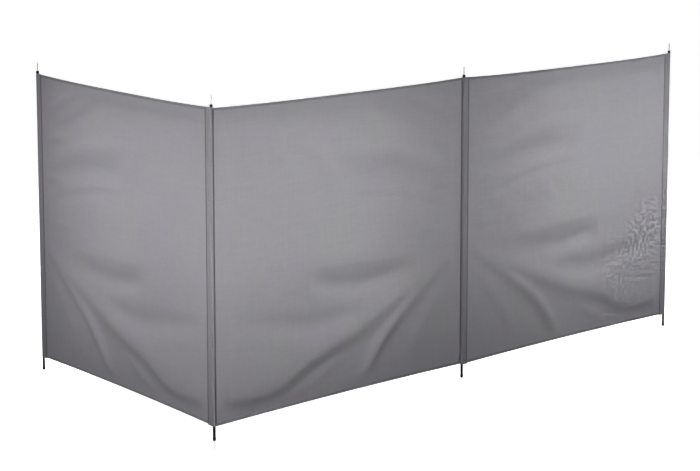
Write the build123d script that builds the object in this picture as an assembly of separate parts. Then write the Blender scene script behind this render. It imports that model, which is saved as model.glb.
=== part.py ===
from build123d import *
import os
from math import atan2, cos, degrees, hypot, radians, sin, sqrt

# Beach windbreak: three cloth bays on four slim poles, five metres of cloth 1.4 m high.
# Millimetres. +Z up. Origin on the flat face of the corner pole's foot, where it meets the ground.
# The middle and right bays run along +X. The left bay turns back from the corner pole.

# ---- driving dimensions ----
BAY = 1655.0            # pole centre to pole centre, every bay
CORNER = 76.5           # angle between the left bay and the middle bay, seen from above
POLE_R = 6.35           # pole tube, outside radius
POLE_WALL = 0.8         # pole tube, wall thickness
POLE_TOP = 1470.0       # shoulder of the top cap above the foot's face
TUBE_Z0 = 4.0           # the tube stands on the floor of the foot
TUBE_Z1 = 1464.0        # the tube ends under the roof of the cap
FOOT_R = 7.4            # black foot on the pole's lower end
FOOT_H = 15.0
CAP_R = 7.4             # black cap on the pole's upper end
CAP_Z0 = 1460.0
PLUG = 22.0             # how far the foot and the cap plug into the tube
PIN_R = 2.0             # steel pins at both ends
SHANK_R = 1.5           # the slimmer part of a pin inside its foot or cap
SEAT_R = 3.0            # recess in the foot's face and the cap's top that the pin's shoulder stands in
SEAT_DEPTH = 1.0
PIN_OUT = 40.0          # length that stands out of the cap or the foot
PIN_TIP = 6.0           # length of the tapered tip
PIN_TIP_R = 1.1

CLOTH_T = 2.0           # cloth panel, thicker than the real cloth
HEM_T = 3.0             # turned and stitched hem
HEM_H = 12.0            # height of the hem band
CLOTH_Z0 = 66.0         # lower edge of the cloth at the seams
CLOTH_Z1 = 1456.0       # upper edge of the cloth at the seams
TOP_SAG = 8.0           # the upper edge hangs this much lower in the middle of a bay
BOTTOM_ARCH = 7.0       # the lower edge lies this much higher in the middle of a bay

SLEEVE_R_IN = 6.65      # sleeve round the pole, with running clearance
SLEEVE_R_OUT = 7.9
SLEEVE_LEN = 38.0       # pole centre to the sleeve's seam
CORNER_SLEEVE_LEN = 52.0  # the corner pole's sleeve is wider
SLEEVE_SEAM_T = 3.0     # thickness at the seam
SLEEVE_Z0 = 62.0
SLEEVE_Z1 = 1458.0
TANGENT = 9.8           # the middle bay's cloth passes the corner pole in front and the inner pole behind


# ---- the poles, each with its own foot, cap and pins ----
def ring(r_out, r_in, z0, z1):
    outer = Pos(0, 0, (z0 + z1) / 2) * Cylinder(r_out, z1 - z0)
    return outer - Pos(0, 0, (z0 + z1) / 2) * Cylinder(r_in, z1 - z0 + 2)


def pole_tube():
    return ring(POLE_R, POLE_R - POLE_WALL, TUBE_Z0, TUBE_Z1)


def foot():
    # a cup that grips the tube inside and outside, bored for the ground spike, with a bevelled lower rim
    body = Pos(0, 0, FOOT_H / 2) * Cylinder(FOOT_R, FOOT_H)
    body = chamfer(body.edges().filter_by(GeomType.CIRCLE).sort_by(Axis.Z)[0:1], 0.8)
    plug = Pos(0, 0, (FOOT_H + PLUG) / 2) * Cylinder(POLE_R - POLE_WALL, PLUG - FOOT_H)
    body = body + plug
    body = body - ring(POLE_R, POLE_R - POLE_WALL, TUBE_Z0, FOOT_H + 5)
    body = body - Pos(0, 0, SEAT_DEPTH / 2) * Cylinder(SEAT_R, SEAT_DEPTH)
    return body - Pos(0, 0, PLUG / 2) * Cylinder(SHANK_R, PLUG + 4)


def cap():
    # the same at the top, with a domed rim
    h = POLE_TOP - CAP_Z0
    body = Pos(0, 0, CAP_Z0 + h / 2) * Cylinder(CAP_R, h)
    body = fillet(body.edges().filter_by(GeomType.CIRCLE).sort_by(Axis.Z)[-1:], 3.0)
    plug = Pos(0, 0, CAP_Z0 - 9) * Cylinder(POLE_R - POLE_WALL, 18)
    body = body + plug
    body = body - ring(POLE_R, POLE_R - POLE_WALL, CAP_Z0 - 5, TUBE_Z1)
    body = body - Pos(0, 0, POLE_TOP - SEAT_DEPTH / 2) * Cylinder(SEAT_R, SEAT_DEPTH)
    return body - Pos(0, 0, POLE_TOP - 10) * Cylinder(SHANK_R, 60)


def spike():
    straight = PIN_OUT - PIN_TIP
    shank = Pos(0, 0, (SEAT_DEPTH + PLUG) / 2) * Cylinder(SHANK_R, PLUG - SEAT_DEPTH)
    shaft = Pos(0, 0, (SEAT_DEPTH - straight) / 2) * Cylinder(PIN_R, SEAT_DEPTH + straight)
    tip = Pos(0, 0, -straight - PIN_TIP / 2) * Cone(PIN_TIP_R, PIN_R, PIN_TIP)
    return shank + shaft + tip


def top_pin():
    z0 = CAP_Z0 - 18
    z1 = POLE_TOP + PIN_OUT - PIN_TIP
    seat = POLE_TOP - SEAT_DEPTH
    shank = Pos(0, 0, (z0 + seat) / 2) * Cylinder(SHANK_R, seat - z0)
    shaft = Pos(0, 0, (seat + z1) / 2) * Cylinder(PIN_R, z1 - seat)
    tip = Pos(0, 0, z1 + PIN_TIP / 2) * Cone(PIN_R, PIN_TIP_R, PIN_TIP)
    return shank + shaft + tip


# ---- the sleeves: round where the pole is, then flat to the seam ----
def sleeve(length):
    lean = (SLEEVE_R_OUT - SLEEVE_SEAM_T / 2) / length
    tx, ty = SLEEVE_R_OUT * lean, SLEEVE_R_OUT * sqrt(1 - lean * lean)
    flat = Polygon(
        (0, 0), (tx, -ty), (length, -SLEEVE_SEAM_T / 2), (length, SLEEVE_SEAM_T / 2), (tx, ty),
        align=None,
    )
    plan = Circle(SLEEVE_R_OUT) + flat - Circle(SLEEVE_R_IN)
    return Pos(0, 0, SLEEVE_Z0) * extrude(plan, SLEEVE_Z1 - SLEEVE_Z0)


# ---- the cloth of one bay, in its own plane, from x0 to x1 ----
def band(x0, x1, low_end, low_mid, high_end, high_mid, thick):
    xm = (x0 + x1) / 2
    outline = [
        ThreePointArc((x0, low_end), (xm, low_mid), (x1, low_end)),
        Line((x1, low_end), (x1, high_end)),
        ThreePointArc((x1, high_end), (xm, high_mid), (x0, high_end)),
        Line((x0, high_end), (x0, low_end)),
    ]
    face = make_face(Plane.XZ * Wire(outline))
    return extrude(face, thick / 2, both=True)


def bay_cloth(x0, x1):
    low, high = CLOTH_Z0, CLOTH_Z1
    low_m, high_m = CLOTH_Z0 + BOTTOM_ARCH, CLOTH_Z1 - TOP_SAG
    panel = band(x0, x1, low + HEM_H, low_m + HEM_H, high - HEM_H, high_m - HEM_H, CLOTH_T)
    top_hem = band(x0, x1, high - HEM_H, high_m - HEM_H, high, high_m, HEM_T)
    bottom_hem = band(x0, x1, low, low_m, low + HEM_H, low_m + HEM_H, HEM_T)
    return panel, top_hem, bottom_hem


# ---- where things stand ----
left_bay = Rot(0, 0, CORNER)                       # corner pole at 0, left end pole at +BAY
right_bay = Pos(BAY, 0, 0)                         # inner pole at 0, right end pole at +BAY
middle_len = hypot(BAY, 2 * TANGENT)
middle_bay = Pos(0, -TANGENT, 0) * Rot(0, 0, degrees(atan2(2 * TANGENT, BAY)))
flip = Rot(0, 0, 180)

poles = {
    "left_end": Pos(BAY * cos(radians(CORNER)), BAY * sin(radians(CORNER)), 0),
    "corner": Pos(0, 0, 0),
    "inner": Pos(BAY, 0, 0),
    "right_end": Pos(2 * BAY, 0, 0),
}
sleeves = {
    "left_end": (left_bay * Pos(BAY, 0, 0) * flip, SLEEVE_LEN),
    "corner": (left_bay, CORNER_SLEEVE_LEN),
    "inner": (right_bay, SLEEVE_LEN),
    "right_end": (right_bay * Pos(BAY, 0, 0) * flip, SLEEVE_LEN),
}

parts = {}
for name, place in poles.items():
    parts["pole_" + name] = place * pole_tube()
    parts["foot_" + name] = place * foot()
    parts["cap_" + name] = place * cap()
    parts["ground_spike_" + name] = place * spike()
    parts["top_pin_" + name] = place * top_pin()
for name, (place, length) in sleeves.items():
    parts["sleeve_" + name] = place * sleeve(length)
for name, place, x0, x1 in (
    ("left", left_bay, CORNER_SLEEVE_LEN, BAY - SLEEVE_LEN),
    ("middle", middle_bay, 0.0, middle_len),
    ("right", right_bay, SLEEVE_LEN, BAY - SLEEVE_LEN),
):
    panel, top_hem, bottom_hem = bay_cloth(x0, x1)
    parts["panel_" + name] = place * panel
    parts["top_hem_" + name] = place * top_hem
    parts["bottom_hem_" + name] = place * bottom_hem

os.makedirs("parts", exist_ok=True)
for name, shape in parts.items():
    export_step(shape, "parts/" + name + ".step")
print(len(parts), "pieces")
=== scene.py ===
from math import atan2, cos, hypot, pi, radians, sin, sqrt

import bpy
import numpy as np
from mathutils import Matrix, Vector


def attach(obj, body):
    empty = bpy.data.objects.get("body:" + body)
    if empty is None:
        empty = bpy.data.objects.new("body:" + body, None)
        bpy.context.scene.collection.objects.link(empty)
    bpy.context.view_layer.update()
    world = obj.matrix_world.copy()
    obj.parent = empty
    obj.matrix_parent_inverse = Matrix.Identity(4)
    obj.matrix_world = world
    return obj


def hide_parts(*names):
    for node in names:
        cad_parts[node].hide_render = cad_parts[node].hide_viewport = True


# Beach windbreak: three grey cloth bays on four slim black poles. Metres, in the row frame.

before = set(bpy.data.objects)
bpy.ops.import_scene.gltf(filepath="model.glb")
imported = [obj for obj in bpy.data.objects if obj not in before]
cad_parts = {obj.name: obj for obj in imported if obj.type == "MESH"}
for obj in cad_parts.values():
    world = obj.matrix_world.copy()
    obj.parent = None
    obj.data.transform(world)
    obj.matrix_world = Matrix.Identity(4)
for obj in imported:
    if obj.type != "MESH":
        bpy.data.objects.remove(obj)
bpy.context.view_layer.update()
scene = bpy.context.scene
scene.view_settings.view_transform = "Standard"

# ------------------------------------------------------------------ sizes, as in the CAD part
BAY = 1.655
CORNER = radians(76.5)
TANGENT = 0.0098
SLEEVE = 0.038
CORNER_SLEEVE = 0.052
SLEEVE_Z0, SLEEVE_Z1 = 0.062, 1.458
LOW, HIGH = 0.066, 1.456
ARCH, SAG = 0.007, 0.008
HEM_H = 0.012


class Bay:
    """A bay's own directions: along runs from its first pole, out is the side the camera sees."""

    def __init__(self, origin, along, x0, x1, fan_at_start, depth=1.0, tuck=(0.0, 0.0)):
        self.o = np.array(origin, float)
        self.u = np.array([along[0], along[1], 0.0]) / hypot(*along)
        self.out = np.array([self.u[1], -self.u[0], 0.0])
        if self.out @ np.array([-0.731, -0.682, 0.0]) < 0:
            self.out = -self.out
        self.x0, self.x1, self.fan_at_start = x0, x1, fan_at_start
        self.depth, self.tuck = depth, tuck

    def at(self, s, n, z):
        s, n, z = np.broadcast_arrays(s, n, z)
        return self.o + s[..., None] * self.u + n[..., None] * self.out + z[..., None] * np.array([0, 0, 1.0])

    def fan(self, s):
        """Distance from the pole that the folds fan out from."""
        return s if self.fan_at_start else BAY - s


LEN_MID = hypot(BAY, 2 * TANGENT)
bays = {
    "left": Bay((0, 0, 0), (cos(CORNER), sin(CORNER)), CORNER_SLEEVE, BAY - SLEEVE, False, 1.3),
    "middle": Bay((0, -TANGENT, 0), (BAY, 2 * TANGENT), 0.0, LEN_MID, False, 1.45, (0.0018, 0.0018)),
    "right": Bay((BAY, 0, 0), (1, 0), SLEEVE, BAY - SLEEVE, True, 1.3),
}


def smooth(t):
    t = np.clip(t, 0, 1)
    return t * t * (3 - 2 * t)


def low_edge(bay, s):
    q = (s - (bay.x0 + bay.x1) / 2) / ((bay.x1 - bay.x0) / 2)
    return LOW + ARCH * (1 - q * q)


def high_edge(bay, s):
    q = (s - (bay.x0 + bay.x1) / 2) / ((bay.x1 - bay.x0) / 2)
    return HIGH - SAG * (1 - np.abs(q) ** 3.2)


# ------------------------------------------------------------------ the cloth's relief
def curve_through(points, n=70):
    """A smooth line through (x, z, height, width above, width below) rows."""
    p = np.array(points, float)
    t = np.concatenate([[0], np.cumsum(np.hypot(*np.diff(p[:, :2], axis=0).T))])
    q = np.vstack([2 * p[0] - p[1], p, 2 * p[-1] - p[-2]])
    out = []
    for i in range(len(p) - 1):
        a, b, c, d = q[i], q[i + 1], q[i + 2], q[i + 3]
        m = max(2, int(n * (t[i + 1] - t[i]) / t[-1]))
        for k in range(m):
            w = k / m
            out.append(
                0.5 * (2 * b + (c - a) * w + (2 * a - 5 * b + 4 * c - d) * w * w + (3 * b - a - 3 * c + d) * w**3)
            )
    return np.array(out + [p[-1]])


def ridge(x, z, points):
    """Height of a fold whose crest runs through the points, with its own width on each side."""
    line = curve_through(points)
    best = np.full(x.shape, 1e9)
    height = np.zeros(x.shape)
    for i in range(len(line) - 1):
        a, b = line[i, :2], line[i + 1, :2]
        d = b - a
        t = np.clip(((x - a[0]) * d[0] + (z - a[1]) * d[1]) / (d @ d), 0, 1)
        px, pz = x - a[0] - t * d[0], z - a[1] - t * d[1]
        dist = np.hypot(px, pz)
        above = (d[0] * pz - d[1] * px) * (1 if d[0] >= 0 else -1) >= 0
        row = line[i, 2:] + t[..., None] * (line[i + 1, 2:] - line[i, 2:])
        width = np.where(above, row[..., 1], row[..., 2])
        value = row[..., 0] * np.exp(-((dist / width) ** 2))
        closer = dist < best
        best = np.where(closer, dist, best)
        height = np.where(closer, value, height)
    return height


def value_noise(x, z, size, seed):
    """Smooth noise from -1 to 1 with that spacing in metres."""
    r = np.random.RandomState(seed)
    table = r.uniform(-1, 1, (64, 64))
    gx, gz = x / size[0] + 17.3, z / size[1] + 9.7
    ix, iz = np.floor(gx).astype(int), np.floor(gz).astype(int)
    fx, fz = smooth(gx - ix), smooth(gz - iz)

    def v(a, b):
        return table[(ix + a) % 64, (iz + b) % 64]

    return (v(0, 0) * (1 - fx) + v(1, 0) * fx) * (1 - fz) + (v(0, 1) * (1 - fx) + v(1, 1) * fx) * fz


MM = 0.001

# Folds and hollows, measured from the pole they fan out from.
# Each row: distance along, height, how far it stands out in mm, its width above and below.
FOLDS = (
    # the main fold
    (
        (0.03, 0.620, 2.0, 0.045, 0.030),
        (0.18, 0.574, 5.0, 0.050, 0.030),
        (0.34, 0.510, 6.5, 0.048, 0.034),
        (0.50, 0.452, 7.5, 0.052, 0.044),
        (0.66, 0.398, 10.0, 0.058, 0.052),
        (0.82, 0.340, 13.0, 0.070, 0.050),
        (0.98, 0.300, 15.0, 0.080, 0.052),
        (1.10, 0.262, 16.0, 0.092, 0.048),
        (1.20, 0.214, 15.0, 0.098, 0.046),
        (1.30, 0.178, 13.5, 0.100, 0.046),
        (1.40, 0.166, 12.0, 0.100, 0.044),
        (1.52, 0.178, 10.0, 0.095, 0.046),
        (1.64, 0.206, 8.0, 0.090, 0.048),
    ),
    # the second, steeper: it reaches the lower hem less than half way along
    (
        (0.12, 0.572, 1.0, 0.026, 0.026),
        (0.26, 0.500, 5.5, 0.028, 0.030),
        (0.38, 0.430, 9.0, 0.030, 0.034),
        (0.49, 0.358, 11.5, 0.033, 0.036),
        (0.58, 0.286, 12.5, 0.036, 0.038),
        (0.655, 0.205, 11.5, 0.037, 0.038),
        (0.71, 0.130, 7.0, 0.038, 0.038),
        (0.75, 0.080, 1.5, 0.040, 0.036),
    ),
    # a small third one between the second and the pole
    (
        (0.08, 0.535, 0.5, 0.030, 0.030),
        (0.20, 0.410, 3.0, 0.036, 0.034),
        (0.33, 0.270, 3.8, 0.044, 0.040),
        (0.42, 0.150, 1.0, 0.044, 0.040),
    ),
    # a short one under the main fold where it levels out
    (
        (0.86, 0.240, 0.5, 0.026, 0.026),
        (0.98, 0.190, 4.0, 0.032, 0.030),
        (1.08, 0.135, 3.5, 0.034, 0.032),
        (1.14, 0.095, 0.5, 0.034, 0.032),
    ),
    # the hollow above the main fold, in the middle of the bay, and the swelling over it
    (
        (0.34, 0.592, -0.4, 0.046, 0.044),
        (0.50, 0.577, -7.0, 0.044, 0.050),
        (0.66, 0.566, -9.6, 0.046, 0.054),
        (0.80, 0.568, -10.0, 0.044, 0.054),
        (0.94, 0.588, -8.0, 0.042, 0.050),
        (1.06, 0.606, -0.4, 0.044, 0.044),
    ),
    (
        (0.30, 0.668, 0.3, 0.050, 0.034),
        (0.60, 0.668, 3.4, 0.070, 0.034),
        (0.90, 0.682, 3.2, 0.070, 0.034),
        (1.16, 0.690, 0.3, 0.050, 0.034),
    ),
    # a wider hollow lower down, out to the far pole
    (
        (0.68, 0.446, -0.3, 0.044, 0.044),
        (0.86, 0.428, -5.6, 0.046, 0.050),
        (1.04, 0.420, -7.6, 0.050, 0.056),
        (1.24, 0.446, -7.4, 0.052, 0.056),
        (1.44, 0.468, -5.4, 0.050, 0.054),
        (1.60, 0.476, -0.6, 0.050, 0.050),
    ),
    # a crease drawn across from the pole, and the slack under it
    (
        (0.12, 0.852, -0.3, 0.018, 0.030),
        (0.28, 0.896, -2.0, 0.019, 0.040),
        (0.50, 0.942, -2.6, 0.020, 0.044),
        (0.68, 0.962, -2.2, 0.020, 0.044),
        (0.88, 0.972, -0.2, 0.020, 0.036),
    ),
    # the hollow and the swelling over it
    (
        (0.16, 0.985, -0.4, 0.036, 0.050),
        (0.32, 1.022, -3.8, 0.040, 0.058),
        (0.52, 1.056, -5.4, 0.044, 0.066),
        (0.72, 1.062, -5.0, 0.044, 0.070),
        (0.92, 1.052, -0.6, 0.044, 0.062),
    ),
    (
        (0.12, 1.045, 0.4, 0.040, 0.036),
        (0.26, 1.085, 2.4, 0.046, 0.036),
        (0.50, 1.150, 3.8, 0.050, 0.042),
        (0.74, 1.176, 3.8, 0.052, 0.046),
        (0.98, 1.190, 0.6, 0.050, 0.044),
    ),
    # a slanting pull that parts the slack half from the taut half
    (
        (0.80, 0.985, 0.3, 0.040, 0.040),
        (0.90, 1.085, 2.2, 0.046, 0.060),
        (1.00, 1.185, 2.4, 0.050, 0.066),
        (1.14, 1.300, 0.4, 0.046, 0.050),
    ),
    # the pull from the top of the fan pole
    (
        (0.16, 1.196, -0.4, 0.030, 0.030),
        (0.30, 1.236, -3.6, 0.034, 0.044),
        (0.46, 1.296, -4.6, 0.036, 0.048),
        (0.60, 1.352, -2.8, 0.034, 0.044),
        (0.70, 1.392, -0.4, 0.032, 0.032),
    ),
    (
        (0.10, 1.290, 0.4, 0.026, 0.024),
        (0.22, 1.335, 2.8, 0.028, 0.026),
        (0.36, 1.392, 2.0, 0.028, 0.026),
        (0.44, 1.424, 0.3, 0.026, 0.024),
    ),
    # short creases close to the pole
    (
        (0.05, 0.735, 0.2, 0.018, 0.018),
        (0.20, 0.752, 1.6, 0.022, 0.022),
        (0.44, 0.776, 0.2, 0.026, 0.026),
    ),
    (
        (0.04, 0.952, 0.2, 0.016, 0.016),
        (0.13, 0.970, 1.5, 0.020, 0.020),
        (0.28, 0.978, 0.2, 0.022, 0.022),
    ),
    (
        (0.05, 1.128, 0.2, 0.018, 0.018),
        (0.14, 1.156, 1.8, 0.022, 0.022),
        (0.27, 1.186, 0.2, 0.024, 0.024),
    ),
    # under the upper hem the cloth falls back a little
    (
        (0.40, 1.368, -1.5, 0.045, 0.070),
        (0.80, 1.366, -5.0, 0.048, 0.095),
        (1.20, 1.372, -6.0, 0.050, 0.100),
        (1.50, 1.380, -5.0, 0.050, 0.090),
        (1.66, 1.384, -1.5, 0.048, 0.080),
    ),
)


def relief(bay, s, z, seed):
    """How far the cloth stands out of its bay's plane. The folds fan out from one pole of each bay."""
    x = bay.fan(s)
    n = np.zeros(np.shape(x))
    # the bay's slow belly, fullest a little over a third of the way up
    up = (z - LOW) / (HIGH - LOW)
    across = (s - bay.x0) / (bay.x1 - bay.x0)
    belly = 9.0 * MM * np.sin(pi * np.clip(across, 0, 1)) ** 0.8 * np.sin(pi * np.clip(up, 0, 1) ** 0.8) ** 0.9
    # the main fold: from the fan pole it drops across the bay and then runs on level near the bottom
    for points in FOLDS:
        n += ridge(x, z, [(a, b, c * MM, d, e) for a, b, c, d, e in points])
    n = belly + n * bay.depth
    # slow unevenness all over
    n += 2.0 * MM * value_noise(x, z, (0.30, 0.17), seed)
    n += 0.50 * MM * value_noise(x, z, (0.13, 0.07), seed + 1)
    n += 0.22 * MM * value_noise(x, z, (0.050, 0.034), seed + 2)
    # small puckers along the seams
    edge = np.minimum(s - bay.x0, bay.x1 - s)
    n += 0.55 * MM * value_noise(edge * 0.15 + s * 0.2, z, (0.05, 0.016), seed + 3) * np.exp(-((edge / 0.045) ** 2))
    # and along the hems
    gap = np.minimum(z - LOW, HIGH - z)
    n += 0.45 * MM * value_noise(s, gap * 0.3, (0.022, 0.05), seed + 4) * np.exp(-((gap / 0.035) ** 2))
    # it comes back to the plane at the seams and the hems
    hold = smooth(edge / 0.085) * smooth((z - LOW - 0.008) / 0.085) * smooth((HIGH - 0.008 - z) / 0.085)
    n = n * (0.04 + 0.96 * hold)
    # the middle bay's cloth lies close against the two sleeves it passes
    near = smooth((z - LOW - 0.02) / 0.05) * smooth((HIGH - 0.02 - z) / 0.05)
    return n + near * (bay.tuck[1] * smooth(1 - (bay.x1 - s) / 0.06) - bay.tuck[0] * smooth(1 - (s - bay.x0) / 0.06))


# ------------------------------------------------------------------ mesh helpers
def make_mesh(name, verts, faces, uvs=None, smooth_shade=True):
    """uvs holds one (u, v) in metres for each vertex."""
    mesh = bpy.data.meshes.new(name)
    mesh.from_pydata([tuple(map(float, v)) for v in verts], [], [tuple(map(int, f)) for f in faces])
    if uvs is not None:
        layer = mesh.uv_layers.new(name="UVMap")
        index = np.empty(len(mesh.loops), int)
        mesh.loops.foreach_get("vertex_index", index)
        layer.data.foreach_set("uv", np.asarray(uvs, np.float32)[index].ravel())
    if smooth_shade:
        mesh.polygons.foreach_set("use_smooth", np.ones(len(mesh.polygons), bool))
    mesh.validate()
    mesh.update()
    obj = bpy.data.objects.new(name, mesh)
    scene.collection.objects.link(obj)
    return obj


def grid_faces(rows, cols, around=False, flip=False):
    faces = []
    for i in range(rows - 1):
        for j in range(cols if around else cols - 1):
            k = (j + 1) % cols
            f = (i * cols + j, i * cols + k, (i + 1) * cols + k, (i + 1) * cols + j)
            faces.append(f[::-1] if flip else f)
    return faces


def weld_normals(obj):
    """Faces outward on closed pieces."""
    import bmesh

    bm = bmesh.new()
    bm.from_mesh(obj.data)
    bmesh.ops.recalc_face_normals(bm, faces=bm.faces)
    bm.to_mesh(obj.data)
    bm.free()
    obj.data.update()


# ------------------------------------------------------------------ materials
def new_material(name):
    m = bpy.data.materials.new(name)
    m.use_nodes = True
    nt = m.node_tree
    nt.nodes.clear()
    out = nt.nodes.new("ShaderNodeOutputMaterial")
    return m, nt, out


def node(nt, kind, **settings):
    n = nt.nodes.new(kind)
    for k, v in settings.items():
        if k in n.inputs.keys():
            n.inputs[k].default_value = v
        else:
            setattr(n, k, v)
    return n


def mapped_noise(nt, vector, scale_xyz, scale=1.0, detail=2.0, rough=0.5):
    mp = node(nt, "ShaderNodeMapping")
    mp.inputs["Scale"].default_value = scale_xyz
    nt.links.new(vector, mp.inputs["Vector"])
    nz = node(nt, "ShaderNodeTexNoise", noise_dimensions="3D")
    nz.inputs["Scale"].default_value = scale
    nz.inputs["Detail"].default_value = detail
    nz.inputs["Roughness"].default_value = rough
    nt.links.new(mp.outputs["Vector"], nz.inputs["Vector"])
    return nz.outputs["Fac"]


def ramp(nt, value, lo, hi, out_lo, out_hi):
    r = node(nt, "ShaderNodeMapRange", clamp=True)
    r.inputs["From Min"].default_value = lo
    r.inputs["From Max"].default_value = hi
    r.inputs["To Min"].default_value = out_lo
    r.inputs["To Max"].default_value = out_hi
    nt.links.new(value, r.inputs["Value"])
    return r.outputs["Result"]


def math(nt, op, a, b=None):
    m = node(nt, "ShaderNodeMath", operation=op)
    for i, v in enumerate((a, b)):
        if v is None:
            continue
        if isinstance(v, (int, float)):
            m.inputs[i].default_value = v
        else:
            nt.links.new(v, m.inputs[i])
    return m.outputs["Value"]


def shade(nt, color, factor):
    """The colour times a factor near 1."""
    m = node(nt, "ShaderNodeVectorMath", operation="SCALE")
    if isinstance(color, tuple):
        m.inputs[0].default_value = color[:3]
    else:
        nt.links.new(color, m.inputs[0])
    nt.links.new(factor, m.inputs["Scale"])
    return m.outputs["Vector"]


def bump(nt, height, distance, strength, normal=None):
    b = node(nt, "ShaderNodeBump")
    b.inputs["Strength"].default_value = strength
    b.inputs["Distance"].default_value = distance
    nt.links.new(height, b.inputs["Height"])
    if normal is not None:
        nt.links.new(normal, b.inputs["Normal"])
    return b.outputs["Normal"]


def woven(name, color, violet, through, pitch=0.0006, slub=0.05, dirt_and_shade=0.06):
    """Plain woven polyester: threads, slubs, a faint unevenness of the dye, and darkening towards the foot that is
    partly dirt and partly painted shade.
    """
    m, nt, out = new_material(name)
    uv = node(nt, "ShaderNodeUVMap", uv_map="UVMap").outputs["UV"]
    sep = node(nt, "ShaderNodeSeparateXYZ")
    nt.links.new(uv, sep.inputs["Vector"])
    # the threads
    waves = []
    for direction in ("X", "Y"):
        w = node(nt, "ShaderNodeTexWave", wave_type="BANDS", bands_direction=direction, wave_profile="SIN")
        w.inputs["Scale"].default_value = 2 * pi / (20 * pitch)
        w.inputs["Distortion"].default_value = 0.0
        nt.links.new(uv, w.inputs["Vector"])
        waves.append(math(nt, "SUBTRACT", w.outputs["Fac"], 0.5))
    weave = math(nt, "MULTIPLY", waves[0], waves[1])
    # slubs: threads that are thicker for a few centimetres
    along_u = mapped_noise(nt, uv, (9.0, 330.0, 1.0), 1.0, 2.0, 0.55)
    along_v = mapped_noise(nt, uv, (330.0, 9.0, 1.0), 1.0, 2.0, 0.55)
    slubs = math(nt, "ADD", along_u, along_v)
    bands = math(
        nt,
        "ADD",
        mapped_noise(nt, uv, (3.0, 95.0, 1.0), 1.0, 3.0, 0.7),
        mapped_noise(nt, uv, (95.0, 3.0, 1.0), 1.0, 3.0, 0.7),
    )
    cloud = mapped_noise(nt, uv, (3.1, 4.3, 1.0), 1.0, 4.0, 0.6)
    mottle = mapped_noise(nt, uv, (26.0, 40.0, 1.0), 1.0, 5.0, 0.65)
    f = ramp(nt, slubs, 0.6, 1.4, 1.0 - slub, 1.0 + slub)
    f = math(nt, "MULTIPLY", f, ramp(nt, bands, 0.65, 1.35, 0.955, 1.045))
    f = math(nt, "MULTIPLY", f, ramp(nt, cloud, 0.25, 0.75, 0.970, 1.030))
    f = math(nt, "MULTIPLY", f, ramp(nt, mottle, 0.3, 0.7, 0.975, 1.025))
    f = math(nt, "MULTIPLY", f, ramp(nt, weave, -0.25, 0.25, 0.95, 1.05))
    # darker towards the foot, up to about a third of a metre: partly dirt rubbed in, partly painted shade over the
    # lower band
    foot = ramp(nt, sep.outputs["Y"], 0.06, 0.34, 1.0, 0.0)
    foot = math(nt, "MULTIPLY", foot, ramp(nt, mottle, 0.25, 0.75, 0.5, 1.0))
    f = math(nt, "MULTIPLY", f, math(nt, "SUBTRACT", 1.0, math(nt, "MULTIPLY", foot, dirt_and_shade)))
    tint = node(nt, "ShaderNodeMix", data_type="RGBA")
    tint.inputs["A"].default_value = (*color, 1)
    tint.inputs["B"].default_value = (*violet, 1)
    nt.links.new(ramp(nt, cloud, 0.35, 0.65, 0.0, 1.0), tint.inputs["Factor"])
    col = shade(nt, tint.outputs["Result"], f)
    normal = bump(nt, mottle, 0.0016, 0.35)
    normal = bump(nt, slubs, 0.00022, 0.6, normal)
    normal = bump(nt, weave, 0.00016, 0.7, normal)
    p = node(nt, "ShaderNodeBsdfPrincipled")
    p.inputs["Roughness"].default_value = 0.82
    p.inputs["Specular IOR Level"].default_value = 0.28
    p.inputs["Sheen Weight"].default_value = 0.12
    p.inputs["Sheen Roughness"].default_value = 0.5
    nt.links.new(col, p.inputs["Base Color"])
    nt.links.new(normal, p.inputs["Normal"])
    if through > 0:
        t = node(nt, "ShaderNodeBsdfTranslucent")
        nt.links.new(col, t.inputs["Color"])
        nt.links.new(normal, t.inputs["Normal"])
        mix = node(nt, "ShaderNodeMixShader")
        mix.inputs["Fac"].default_value = through
        nt.links.new(p.outputs["BSDF"], mix.inputs[1])
        nt.links.new(t.outputs["BSDF"], mix.inputs[2])
        nt.links.new(mix.outputs["Shader"], out.inputs["Surface"])
    else:
        nt.links.new(p.outputs["BSDF"], out.inputs["Surface"])
    return m


def black_paint():
    """Satin paint on steel tube, rubbed thin in streaks along the pole."""
    m, nt, out = new_material("black_paint")
    obj = node(nt, "ShaderNodeTexCoord").outputs["Object"]
    streak = mapped_noise(nt, obj, (900.0, 900.0, 22.0), 1.0, 3.0, 0.6)
    orange = mapped_noise(nt, obj, (1.0, 1.0, 1.0), 900.0, 2.0, 0.5)
    wear = ramp(nt, streak, 0.62, 0.80, 0.0, 1.0)
    tint = node(nt, "ShaderNodeMix", data_type="RGBA")
    tint.inputs["A"].default_value = (0.012, 0.012, 0.013, 1)
    tint.inputs["B"].default_value = (0.060, 0.060, 0.062, 1)
    nt.links.new(wear, tint.inputs["Factor"])
    p = node(nt, "ShaderNodeBsdfPrincipled")
    p.inputs["Specular IOR Level"].default_value = 0.5
    nt.links.new(tint.outputs["Result"], p.inputs["Base Color"])
    nt.links.new(ramp(nt, streak, 0.3, 0.7, 0.30, 0.48), p.inputs["Roughness"])
    nt.links.new(bump(nt, orange, 0.00008, 0.5), p.inputs["Normal"])
    nt.links.new(p.outputs["BSDF"], out.inputs["Surface"])
    return m


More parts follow.
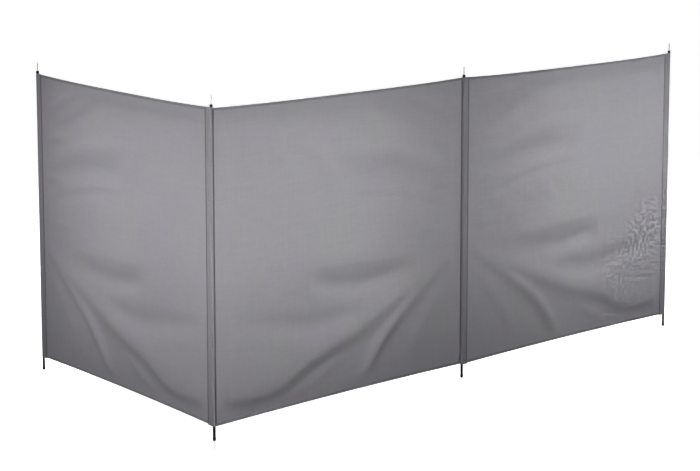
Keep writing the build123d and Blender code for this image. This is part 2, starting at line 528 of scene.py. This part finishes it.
def black_plastic():
    """Moulded plastic, fine grained, greyed a little in scuffed patches."""
    m, nt, out = new_material("black_plastic")
    obj = node(nt, "ShaderNodeTexCoord").outputs["Object"]
    grain = mapped_noise(nt, obj, (1.0, 1.0, 1.0), 2600.0, 3.0, 0.6)
    scuff = mapped_noise(nt, obj, (260.0, 260.0, 420.0), 1.0, 4.0, 0.65)
    tint = node(nt, "ShaderNodeMix", data_type="RGBA")
    tint.inputs["A"].default_value = (0.010, 0.010, 0.011, 1)
    tint.inputs["B"].default_value = (0.050, 0.049, 0.047, 1)
    nt.links.new(ramp(nt, scuff, 0.55, 0.85, 0.0, 1.0), tint.inputs["Factor"])
    p = node(nt, "ShaderNodeBsdfPrincipled")
    p.inputs["Specular IOR Level"].default_value = 0.45
    nt.links.new(tint.outputs["Result"], p.inputs["Base Color"])
    nt.links.new(ramp(nt, scuff, 0.3, 0.8, 0.36, 0.60), p.inputs["Roughness"])
    nt.links.new(bump(nt, grain, 0.00006, 0.6), p.inputs["Normal"])
    nt.links.new(p.outputs["BSDF"], out.inputs["Surface"])
    return m


def pin_steel():
    """Bright zinc on drawn wire, with fine rings from the drawing and duller spots."""
    m, nt, out = new_material("pin_steel")
    obj = node(nt, "ShaderNodeTexCoord").outputs["Object"]
    drawn = mapped_noise(nt, obj, (1800.0, 1800.0, 60.0), 1.0, 3.0, 0.6)
    spots = mapped_noise(nt, obj, (1.0, 1.0, 1.0), 420.0, 4.0, 0.6)
    tint = node(nt, "ShaderNodeMix", data_type="RGBA")
    tint.inputs["A"].default_value = (0.84, 0.84, 0.85, 1)
    tint.inputs["B"].default_value = (0.77, 0.77, 0.78, 1)
    nt.links.new(ramp(nt, spots, 0.45, 0.75, 0.0, 1.0), tint.inputs["Factor"])
    p = node(nt, "ShaderNodeBsdfPrincipled")
    p.inputs["Metallic"].default_value = 0.45
    nt.links.new(tint.outputs["Result"], p.inputs["Base Color"])
    nt.links.new(ramp(nt, spots, 0.3, 0.8, 0.30, 0.42), p.inputs["Roughness"])
    nt.links.new(bump(nt, drawn, 0.00005, 0.5), p.inputs["Normal"])
    nt.links.new(p.outputs["BSDF"], out.inputs["Surface"])
    return m


def thread(name, color):
    """Twisted sewing thread."""
    m, nt, out = new_material(name)
    obj = node(nt, "ShaderNodeTexCoord").outputs["Object"]
    twist = mapped_noise(nt, obj, (1.0, 1.0, 1.0), 1800.0, 2.0, 0.5)
    p = node(nt, "ShaderNodeBsdfPrincipled")
    p.inputs["Roughness"].default_value = 0.7
    p.inputs["Specular IOR Level"].default_value = 0.3
    nt.links.new(shade(nt, color, ramp(nt, twist, 0.3, 0.7, 0.8, 1.15)), p.inputs["Base Color"])
    nt.links.new(bump(nt, twist, 0.0001, 0.6), p.inputs["Normal"])
    nt.links.new(p.outputs["BSDF"], out.inputs["Surface"])
    return m


GREY = (0.258, 0.252, 0.264)
VIOLET = (0.248, 0.238, 0.268)
cloth_mat = woven("windbreak_cloth", GREY, VIOLET, 0.16)
# hem cloth: the same cloth made darker, painted shade for its doubled layers
hem_painted_shade_mat = woven("hem_cloth", tuple(c * 0.66 for c in GREY), tuple(c * 0.66 for c in VIOLET), 0.0, slub=0.06)
# sleeve cloth: the same cloth made darker, painted shade for the doubled cloth round the black pole
sleeve_painted_shade_mat = woven("sleeve_cloth", tuple(c * 0.73 for c in GREY), tuple(c * 0.73 for c in VIOLET), 0.03, slub=0.06)
# seam cloths: the same cloth made much darker, painted shadow along the sewn edges and in the crease by the sleeves
seam_painted_shadow_mat = woven("seam_cloth", tuple(c * 0.24 for c in GREY), tuple(c * 0.24 for c in VIOLET), 0.0, slub=0.06)
end_seam_painted_shadow_mat = woven("end_seam_cloth", tuple(c * 0.42 for c in GREY), tuple(c * 0.42 for c in VIOLET), 0.0, slub=0.06)
thread_mat = thread("sewing_thread", (0.150, 0.148, 0.156))
paint_mat, plastic_mat, steel_mat = black_paint(), black_plastic(), pin_steel()


# ------------------------------------------------------------------ cloth panels
STEP = 0.0075
SEAM_COLUMNS = np.array([-0.001, 0.0008, 0.0034, 0.0042, 0.0050, 0.0072])


def panel(name, bay, seed, wrap=None):
    """One sheet from sleeve seam to sleeve seam, its edges tucked into the hems."""
    s = np.linspace(bay.x0 + 0.012, bay.x1 - 0.012, int((bay.x1 - bay.x0) / STEP))
    s = np.concatenate([bay.x0 + SEAM_COLUMNS, s, bay.x1 - SEAM_COLUMNS[::-1]])
    t = np.linspace(0, 1, int((HIGH - LOW) / STEP))
    S, Tt = np.meshgrid(s, t)
    Zl, Zh = low_edge(bay, S) + 0.004, high_edge(bay, S) - 0.004
    Z = Zl + Tt * (Zh - Zl)
    N = relief(bay, S, Z, seed)
    P = bay.at(S, N, Z)
    uv = np.stack([S, Z], -1)
    if wrap:
        # the edges of the middle bay's cloth go on round the sleeves they pass
        parts, uvs = [P], [uv]
        for end, pole, first_angle, turn in wrap:
            rows = []
            strip_uv = []
            sign = -1 if end == "start" else 1
            edge_s = bay.x0 if end == "start" else bay.x1
            for k in range(1, 3):
                a = first_angle + turn * k / 2
                r = 0.0080
                xy = np.array([pole[0] + r * cos(a), pole[1] + r * sin(a)])
                z = Z[:, 0] if end == "start" else Z[:, -1]
                rows.append(np.stack([np.full(len(z), xy[0]), np.full(len(z), xy[1]), z], -1))
                strip_uv.append(np.stack([np.full(len(z), edge_s + sign * abs(turn) * r * k / 2), z], -1))
            strip, strip_uv = np.stack(rows, 1), np.stack(strip_uv, 1)
            if end == "start":
                parts.insert(0, strip[:, ::-1])
                uvs.insert(0, strip_uv[:, ::-1])
            else:
                parts.append(strip)
                uvs.append(strip_uv)
        P, uv = np.concatenate(parts, 1), np.concatenate(uvs, 1)
    rows, cols = P.shape[:2]
    obj = make_mesh(name, P.reshape(-1, 3), grid_faces(rows, cols), uv.reshape(-1, 2))
    obj.data.materials.append(cloth_mat)
    if wrap:
        # its two upright edges are turned in and stitched; they take the dark seam cloth, a painted shadow where they
        # tuck against the sleeves
        obj.data.materials.append(seam_painted_shadow_mat)
        last = int(np.searchsorted(uv[0, :, 0], bay.x0 + 0.0060))
        for poly in obj.data.polygons:
            c = [v % cols for v in poly.vertices]
            if max(c) <= last or min(c) >= cols - 1 - last:
                poly.material_index = 1
    return obj


def seam_stitches(bay, seed):
    """Down both upright edges of a panel that has no sleeve of its own."""
    z = np.arange(LOW + 0.016, HIGH - 0.015, 0.0034)
    runs = []
    for s in (bay.x0 + 0.0042, bay.x1 - 0.0042):
        n = relief(bay, np.full(z.shape, s), z, seed)
        for side in (1, -1):
            c = bay.at(np.full(z.shape, s), n + side * 0.1 * MM, z)
            runs.append((c, np.repeat(np.array([[0, 0, 1.0]]), len(z), 0), np.repeat(side * bay.out[None], len(z), 0)))
    return runs


def hem(name, bay, seed, top):
    """Cloth turned over and stitched: rounded on its outer edge, thinner where it lies on the panel."""
    s = np.linspace(bay.x0, bay.x1, 260)
    edge = high_edge(bay, s) if top else low_edge(bay, s)
    sign = -1.0 if top else 1.0
    ripple = 0.35 * MM * value_noise(s, s * 0 + 0.3, (0.030, 1.0), seed)
    hold = smooth(np.minimum(s - bay.x0, bay.x1 - s) / 0.03)
    depth = HEM_H + 0.0004 * value_noise(s, s * 0 + 0.7, (0.02, 1.0), seed + 5)
    # (share of the hem's depth, half thickness in mm) round the section, stitch groove at 0.78
    profile = [(0.0, 0.35), (0.03, 0.95), (0.12, 1.40), (0.30, 1.45), (0.55, 1.35), (0.72, 1.15), (0.78, 0.75), (0.84, 1.05), (0.95, 0.85), (1.0, 0.45)]
    section = [(d, h) for d, h in profile] + [(d, -h) for d, h in profile[::-1]]
    puff = 1 + 0.10 * value_noise(s, s * 0, (0.009, 1.0), seed + 9)
    verts, uvs = [], []
    for d, h in section:
        z = edge + sign * d * depth
        n = ripple * hold + h * MM * puff
        verts.append(bay.at(s, n, z))
        uvs.append(np.stack([s, z], -1))
    V = np.stack(verts, 1)
    U = np.stack(uvs, 1)
    rows, cols = V.shape[:2]
    faces = grid_faces(rows, cols, around=True)
    faces.append(tuple(range(cols)))
    faces.append(tuple((rows - 1) * cols + j for j in range(cols))[::-1])
    obj = make_mesh(name, V.reshape(-1, 3), faces, U.reshape(-1, 2))
    weld_normals(obj)
    # the hem's darker cloth is painted shade for the doubled layers
    obj.data.materials.append(hem_painted_shade_mat)
    return obj


# ------------------------------------------------------------------ stitches
def stitch_mesh(name, runs, mat):
    """runs is a list of (centres, directions, outward normals). Each stitch is a small raised lozenge."""
    verts, faces = [], []
    for centres, ways, outs in runs:
        for c, w, o in zip(centres, ways, outs):
            side = np.cross(w, o)
            k = len(verts)
            a, b, h = 0.00115, 0.00026, 0.00026
            verts += [c - w * a, c + side * b, c + w * a, c - side * b, c + o * h, c - o * h]
            faces += [(k, k + 1, k + 4), (k + 1, k + 2, k + 4), (k + 2, k + 3, k + 4), (k + 3, k, k + 4)]
            faces += [(k + 1, k, k + 5), (k + 2, k + 1, k + 5), (k + 3, k + 2, k + 5), (k, k + 3, k + 5)]
    obj = make_mesh(name, verts, faces)
    obj.data.materials.append(mat)
    return obj


def hem_stitches(bay, seed, top):
    s = np.arange(bay.x0 + 0.003, bay.x1 - 0.002, 0.0034)
    edge = high_edge(bay, s) if top else low_edge(bay, s)
    z = edge + (-1 if top else 1) * 0.78 * HEM_H
    hold = smooth(np.minimum(s - bay.x0, bay.x1 - s) / 0.03)
    mid = 0.35 * MM * value_noise(s, s * 0 + 0.3, (0.030, 1.0), seed) * hold
    runs = []
    for side in (1, -1):
        c = bay.at(s, mid + side * 0.82 * MM, z)
        runs.append((c, np.repeat(bay.u[None], len(s), 0), np.repeat(side * bay.out[None], len(s), 0)))
    return runs


# ------------------------------------------------------------------ pole sleeves
R_OUT, WALL = 0.00725, 0.00055


# long creases down each sleeve: z from, z to, place across at both ends (0 pole, 1 seam), height and width in mm
CREASES = {
    "corner": [
        (0.10, 0.44, 0.62, 0.36, 2.9, 3.4), (0.14, 0.33, 0.26, 0.56, 2.4, 3.0), (0.40, 0.74, 0.42, 0.68, 2.2, 3.4),
        (0.80, 0.99, 0.72, 0.34, 2.9, 3.2), (0.96, 1.34, 0.38, 0.56, 1.9, 3.8), (1.20, 1.42, 0.62, 0.50, 1.8, 3.4),
    ],
    "inner": [
        (0.07, 0.27, 0.34, 0.62, 2.9, 2.8), (0.10, 0.38, 0.72, 0.40, 2.6, 2.6), (0.44, 0.86, 0.58, 0.48, 1.6, 2.8),
        (0.98, 1.38, 0.48, 0.60, 1.5, 3.0),
    ],
    "end": [
        (0.08, 0.42, 0.62, 0.44, 2.5, 2.8), (0.60, 0.88, 0.38, 0.68, 2.6, 2.8), (0.94, 1.36, 0.50, 0.60, 1.7, 3.0),
    ],
}


def sleeve(name, pole, u, out, length, puckers, seed, edge_painted_shadow_mat):
    """A flat tube of cloth round the pole, sewn shut along its seam. u points from the pole to the seam."""
    pole, u, out = np.array([*pole, 0.0]), np.array(u), np.array(out)
    half = 0.00145
    lean = (R_OUT - half) / length
    tx, ty = R_OUT * lean, R_OUT * sqrt(1 - lean * lean)
    a0 = atan2(ty, tx)
    flange = 0.0075

    def outline(r_off):
        pts, kind = [], []
        h = half + r_off
        for d in (0.0, 0.0018, 0.0034, 0.0042, 0.0050, flange):
            groove = 0.00055 if abs(d - 0.0042) < 1e-6 else 0.0
            pts.append((length - d, h - groove - 0.00025 * (d == 0.0)))
            kind.append(0.0)
        for k in range(1, 13):
            w = k / 13
            x = (length - flange) * (1 - w) + tx * w
            y = h * (1 - w) + (ty + r_off) * w
            pts.append((x, y - 0.0006 * sin(pi * w)))
            kind.append(w)
        for k in range(0, 17):
            a = a0 + (2 * pi - 2 * a0) * k / 16
            r = R_OUT + r_off
            pts.append((r * cos(a), r * sin(a)))
            kind.append(1.0)
        back = [(x, -y) for x, y in pts[:18]][::-1]
        return np.array(pts + back), np.array(kind + kind[:18][::-1])

    outer, kind = outline(0.0)
    inner, _ = outline(-WALL)
    # inside, the two layers meet at the flange
    inner[:, 0] = np.minimum(inner[:, 0], length - flange + 0.0005)
    nv = 262
    t = np.linspace(0, 1, nv)
    ring_s = outer[:, 0]
    reach = np.clip(ring_s / length, 0, 1)
    side = np.sign(outer[:, 1])
    arc = np.concatenate([[0], np.cumsum(np.hypot(*np.diff(outer, axis=0).T))])
    z_low = SLEEVE_Z0 + 0.0025 * (1 - reach)
    z_high = SLEEVE_Z1 - 0.0020 * reach - 0.0004 * (1 - reach)
    Zz = z_low[None] + t[:, None] * (z_high - z_low)[None]
    # puckers: slanted pulls across the flat part, and bunching where the cloth is slack on the pole
    push = np.zeros(Zz.shape)
    flat = np.sin(pi * np.clip(kind, 0, 1))
    r = np.random.RandomState(seed)
    for zc, zw, h, count in puckers:
        for k in range(count):
            zk = zc + zw * (k / max(1, count - 1) - 0.5) * 2 + r.uniform(-0.006, 0.006)
            slant = r.uniform(-0.5, 0.9)
            w = r.uniform(0.0060, 0.0125)
            sd = 1 if r.rand() < 0.55 else -1
            centre = zk + slant * (ring_s[None] - length / 2)
            push += 1.9 * h * r.uniform(0.4, 1.0) * np.exp(-(((Zz - centre) / w) ** 2)) * flat[None] * np.where(side[None] == sd, 1, 0.35)
    # the slack of the sleeve lies in long creases that lean a little
    push += 1.25 * MM * value_noise(arc[None] + 0.10 * Zz, Zz, (0.0105, 0.060), seed) * (0.15 + 0.85 * flat[None])
    push += 0.60 * MM * value_noise(arc[None] - 0.25 * Zz, Zz, (0.0090, 0.026), seed + 2) * (0.15 + 0.85 * flat[None])
    push += 0.16 * MM * value_noise(arc[None] * 0.5 + 0 * Zz, Zz, (0.01, 0.008), seed + 1) * (0.4 + 0.6 * flat[None])
    kind_of = name.split("_")[-1]
    for z0, z1, f0, f1, h, w in CREASES[kind_of]:
        v = np.clip((Zz - z0) / (z1 - z0), 0, 1)
        fade = np.sin(pi * v) ** 0.7
        across = (f0 * (1 - v) + f1 * v + 0.05 * np.sin(9.0 * v + seed)) * length
        off = (ring_s[None] - across) / (w * MM)
        on = np.where(side[None] > 0, 1.0, 0.6)
        push += h * MM * fade * on * (np.exp(-(off**2)) - 0.55 * np.exp(-((off - 1.7) ** 2))) * flat[None] ** 0.5
    floor_at = -np.maximum(0.5 * MM, 0.26 * np.abs(outer[:, 1]) * smooth(np.clip((ring_s - 0.009) / 0.006, 0, 1)))
    push = np.clip(push, floor_at[None], 2.9 * MM)
    push = np.where(kind[None] >= 1.0, np.clip(push, -0.10 * MM, 0.25 * MM), push)

    def ring_dir(p):
        d = np.roll(p, -1, 0) - np.roll(p, 1, 0)
        nrm = np.stack([d[:, 1], -d[:, 0]], -1)
        nrm /= np.maximum(np.linalg.norm(nrm, axis=1, keepdims=True), 1e-9)
        away = p - np.array([length * 0.3, 0])
        nrm[(nrm * away).sum(1) < 0] *= -1
        return nrm

    nd = ring_dir(outer)

    def place(p2, z):
        return pole + p2[..., :1] * u + p2[..., 1:2] * out + z[..., None] * np.array([0, 0, 1.0])

    Po = outer[None] + push[..., None] * nd[None]
    Pi = inner[None] + (push * 0.9)[..., None] * nd[None]
    Pi[..., 0] = np.minimum(Pi[..., 0], length - flange + 0.0006)
    Vo = place(Po, Zz)
    Vi = place(Pi, Zz)
    nrow, ncol = Zz.shape
    uv_o = np.stack([arc[None] + 0 * Zz, Zz], -1)
    verts = np.concatenate([Vo.reshape(-1, 3), Vi.reshape(-1, 3)])
    uvs = np.concatenate([uv_o.reshape(-1, 2)] * 2)
    base = nrow * ncol
    faces = grid_faces(nrow, ncol, around=True)
    faces += [tuple(base + i for i in f[::-1]) for f in grid_faces(nrow, ncol, around=True)]
    for row in (0, nrow - 1):
        for j in range(ncol):
            k = (j + 1) % ncol
            f = (row * ncol + j, row * ncol + k, base + row * ncol + k, base + row * ncol + j)
            faces.append(f if row else f[::-1])
    obj = make_mesh(name, verts, faces, uvs)
    weld_normals(obj)
    # the sleeve's darker cloth is painted shade for the doubled cloth round the pole
    obj.data.materials.append(sleeve_painted_shade_mat)
    obj.data.materials.append(edge_painted_shadow_mat)
    # the sewn edge is darker: painted shade for its several layers and painted shadow in the seam
    painted_shadow_cols = {j for j in range(ncol) if kind[j] == 0.0}
    for poly in obj.data.polygons:
        cols = {(v % base) % ncol for v in poly.vertices}
        if cols <= painted_shadow_cols:
            xs = [float(ring_s[c]) for c in cols]
            if min(xs) > length - 0.0080:
                poly.material_index = 1
    # stitches down both sides of the seam
    runs = []
    zs = np.arange(SLEEVE_Z0 + 0.004, SLEEVE_Z1 - 0.004, 0.0034)
    for sd in (1, -1):
        base_pt = pole + (length - 0.0042) * u + sd * (half - 0.00045) * out
        c = base_pt[None] + zs[:, None] * np.array([0, 0, 1.0])
        runs.append((c, np.repeat(np.array([[0, 0, 1.0]]), len(zs), 0), np.repeat((sd * out)[None], len(zs), 0)))
    return obj, runs


# ------------------------------------------------------------------ turned parts
def lathe(name, centre, profile, mat, segments=40):
    """profile is a list of (radius, z)."""
    verts, faces, uvs = [], [], []
    for r, z in profile:
        for k in range(segments):
            a = 2 * pi * k / segments
            verts.append((centre[0] + r * cos(a), centre[1] + r * sin(a), z))
            uvs.append((a * max(r, 0.001), z))
    rows = len(profile)
    faces = grid_faces(rows, segments, around=True)
    obj = make_mesh(name, verts, faces, uvs)
    weld_normals(obj)
    obj.data.materials.append(mat)
    return obj


def arc_points(cr, cz, r, a0, a1, n):
    return [(cr + r * cos(a0 + (a1 - a0) * k / n), cz + r * sin(a0 + (a1 - a0) * k / n)) for k in range(n + 1)]


def cap_profile():
    p = [(0.0056, 1.4445), (0.0056, 1.4560), (0.0063, 1.4570), (0.0064, 1.4586), (0.0070, 1.4600), (0.0074, 1.4604), (0.0074, 1.4622)]
    p += [(0.00725, 1.4626), (0.00725, 1.4632), (0.0074, 1.4636)]
    p += arc_points(0.0046, 1.4672, 0.0028, 0.0, pi / 2, 8)
    p += [(0.0034, 1.4700), (0.0030, 1.4698), (0.0029, 1.4692), (0.00155, 1.4690), (0.00155, 1.4560), (0.0040, 1.4450), (0.0056, 1.4445)]
    return p


def foot_profile():
    p = [(0.0056, 0.0215), (0.0056, 0.0165), (0.0066, 0.0158), (0.0070, 0.0148)]
    p += [(0.0073, 0.0130), (0.0072, 0.0126), (0.0072, 0.0121), (0.0074, 0.0117), (0.0074, 0.0060)]
    p += arc_points(0.0058, 0.0016, 0.0016, 0.0, -pi / 2, 6)
    p += [(0.0034, 0.0), (0.0030, 0.0002), (0.0029, 0.0009), (0.00155, 0.0010), (0.00155, 0.0120), (0.0040, 0.0210), (0.0056, 0.0215)]
    return p


poles = {
    "left_end": (BAY * cos(CORNER), BAY * sin(CORNER)),
    "corner": (0.0, 0.0),
    "inner": (BAY, 0.0),
    "right_end": (2 * BAY, 0.0),
}
body_of_pole = {"left_end": "left_bay", "corner": "middle_bay", "inner": "middle_bay", "right_end": "right_bay"}
seeds = {"left": 100, "middle": 200, "right": 300}

# ------------------------------------------------------------------ build the cloth
# the middle bay's cloth leaves the corner sleeve in front and the inner sleeve behind
wrap_middle = [
    ("start", poles["corner"], -pi / 2, -radians(9)),
    ("end", poles["inner"], pi / 2, -radians(9)),
]
cloth, hems, stitch_runs = {}, {}, {"left": [], "middle": [], "right": []}
for b, bay in bays.items():
    cloth[b] = panel("cloth_" + b, bay, seeds[b], wrap_middle if b == "middle" else None)
    hems[b] = [hem("hem_top_" + b, bay, seeds[b] + 20, True), hem("hem_bottom_" + b, bay, seeds[b] + 40, False)]
    stitch_runs[b] += hem_stitches(bay, seeds[b] + 20, True) + hem_stitches(bay, seeds[b] + 40, False)
stitch_runs["middle"] += seam_stitches(bays["middle"], seeds["middle"])

# height of the puckers' middle, half their spread, how far they stand out, how many
sleeve_list = {
    "corner": ("left", poles["corner"], bays["left"].u, bays["left"].out, CORNER_SLEEVE, [(1.06, 0.08, 1.3 * MM, 7), (0.44, 0.05, 1.2 * MM, 5), (1.43, 0.014, 1.0 * MM, 2), (0.75, 0.06, 0.7 * MM, 3), (0.16, 0.05, 1.0 * MM, 3)]),
    "left_end": ("left", poles["left_end"], -bays["left"].u, bays["left"].out, SLEEVE, [(0.18, 0.11, 1.2 * MM, 8), (0.80, 0.05, 0.6 * MM, 2), (1.20, 0.04, 0.5 * MM, 2)]),
    "inner": ("right", poles["inner"], bays["right"].u, bays["right"].out, SLEEVE, [(0.23, 0.14, 1.3 * MM, 9), (0.78, 0.06, 0.8 * MM, 3), (1.28, 0.07, 0.9 * MM, 3)]),
    "right_end": ("right", poles["right_end"], -bays["right"].u, bays["right"].out, SLEEVE, [(1.07, 0.05, 1.2 * MM, 4), (0.39, 0.07, 1.3 * MM, 6)]),
}
sleeves = {}
for n, (b, pole, u, out, length, puckers) in sleeve_list.items():
    sleeves[n], runs = sleeve("sleeve_cloth_" + n, pole, u, out, length, puckers, 500 + len(n) * 7, seam_painted_shadow_mat if n == "corner" else end_seam_painted_shadow_mat)
    stitch_runs[b] += runs

stitching = {b: stitch_mesh("stitching_" + b, stitch_runs[b], thread_mat) for b in bays}

# ------------------------------------------------------------------ caps and feet
caps = {n: lathe("end_cap_" + n, p, cap_profile(), plastic_mat) for n, p in poles.items()}
feet = {n: lathe("end_foot_" + n, p, foot_profile(), plastic_mat) for n, p in poles.items()}

# ------------------------------------------------------------------ onto the frame
for b in bays:
    body = b + "_bay"
    for o, old, slot in (
        (cloth[b], "panel_" + b, "cloth"),
        (hems[b][0], "top_hem_" + b, "hem_cloth"),
        (hems[b][1], "bottom_hem_" + b, "hem_cloth"),
    ):
        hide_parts(old)
        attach(o, body)
    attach(stitching[b], body)
for n, (b, *_rest) in sleeve_list.items():
    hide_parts("sleeve_" + n)
    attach(sleeves[n], b + "_bay")
for n in poles:
    for made, old in ((caps[n], "cap_"), (feet[n], "foot_")):
        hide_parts(old + n)
        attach(made, body_of_pole[n])
    for old, mat in (("pole_", paint_mat), ("ground_spike_", steel_mat), ("top_pin_", steel_mat)):
        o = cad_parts[old + n]
        if o.material_slots:
            for s in o.material_slots:
                s.link = "OBJECT"
                s.material = mat
        else:
            o.data.materials.append(mat)

# ------------------------------------------------------------------ floor, light and camera
FLOOR_Z = -0.0405
floor = make_mesh("floor", [(-90, -90, FLOOR_Z), (90, -90, FLOOR_Z), (90, 90, FLOOR_Z), (-90, 90, FLOOR_Z)], [(0, 1, 2, 3)])
fm, nt, out_node = new_material("floor_paint")
p = node(nt, "ShaderNodeBsdfPrincipled")
p.inputs["Base Color"].default_value = (0.86, 0.86, 0.86, 1)
p.inputs["Roughness"].default_value = 0.9
p.inputs["Specular IOR Level"].default_value = 0.0
p.inputs["Emission Color"].default_value = (1, 1, 1, 1)
p.inputs["Emission Strength"].default_value = 0.88
nt.links.new(p.outputs["BSDF"], out_node.inputs["Surface"])
floor.data.materials.append(fm)
floor.visible_diffuse = False
floor.visible_glossy = False
floor.visible_transmission = False

world = bpy.data.worlds.new("studio")
scene.world = world
world.use_nodes = True
wn = world.node_tree
wn.nodes.clear()
wo = wn.nodes.new("ShaderNodeOutputWorld")
tc = wn.nodes.new("ShaderNodeTexCoord")
sx = wn.nodes.new("ShaderNodeSeparateXYZ")
wn.links.new(tc.outputs["Generated"], sx.inputs["Vector"])
side = ramp(wn, sx.outputs["Z"], -0.10, 0.35, 0.0, 1.0)
sky = node(wn, "ShaderNodeMix", data_type="RGBA")
sky.inputs["A"].default_value = (0.035, 0.035, 0.037, 1)
sky.inputs["B"].default_value = (0.14, 0.14, 0.145, 1)
wn.links.new(side, sky.inputs["Factor"])
light_bg = node(wn, "ShaderNodeBackground")
wn.links.new(sky.outputs["Result"], light_bg.inputs["Color"])
seen_bg = node(wn, "ShaderNodeBackground")
seen_bg.inputs["Color"].default_value = (0.97, 0.97, 0.97, 1)
path = wn.nodes.new("ShaderNodeLightPath")
wmix = wn.nodes.new("ShaderNodeMixShader")
wn.links.new(path.outputs["Is Camera Ray"], wmix.inputs["Fac"])
wn.links.new(light_bg.outputs["Background"], wmix.inputs[1])
wn.links.new(seen_bg.outputs["Background"], wmix.inputs[2])
wn.links.new(wmix.outputs["Shader"], wo.inputs["Surface"])


def softbox(name, target, place, size, power, spread=180, color=(1, 1, 1)):
    data = bpy.data.lights.new(name, "AREA")
    data.shape = "RECTANGLE"
    data.size, data.size_y = size
    data.energy = power
    data.spread = radians(spread)
    data.color = color
    o = bpy.data.objects.new(name, data)
    scene.collection.objects.link(o)
    o.location = Vector(place)
    o.rotation_mode = "QUATERNION"
    o.rotation_quaternion = (Vector(target) - Vector(place)).to_track_quat("-Z", "Y")
    o.visible_camera = False
    o.visible_glossy = False
    return o


def key(name, bay, s, z, away, up, size, power, spread):
    t = bay.at(np.array(s), np.array(0.0), np.array(z))
    place = bay.at(np.array(s), np.array(away), np.array(z + up))
    return softbox(name, t, place, size, power, spread)


key("key_left", bays["left"], 0.34, 0.95, 5.95, 6.25, (2.54, 0.4), 11.4, 11.1)
key("key_middle", bays["middle"], 0.08, 0.97, 6.49, 6.82, (2.86, 0.4), 14.0, 10.5)
key("key_right", bays["right"], 1.40, 0.95, 6.50, 7.41, (2.29, 0.4), 13.5, 10.0)
softbox("fill_front", (0.9, 0.3, 0.75), (-5.0, -3.5, 2.4), (2.6, 1.6), 237)
softbox("fill_back", (1.4, 0.4, 0.8), (4.6, 4.8, 3.6), (3.4, 1.6), 220)

cam_data = bpy.data.cameras.new("camera")
cam_data.sensor_width = 36.0
cam_data.lens = 2404.0 / 700.0 * 36.0
cam_data.clip_end = 400.0
camera = bpy.data.objects.new("camera", cam_data)
scene.collection.objects.link(camera)
camera.location = (-7.010, -7.350, 2.655)
camera.rotation_euler = (radians(90 - 9.79), 0.0, -radians(46.97))
scene.camera = camera
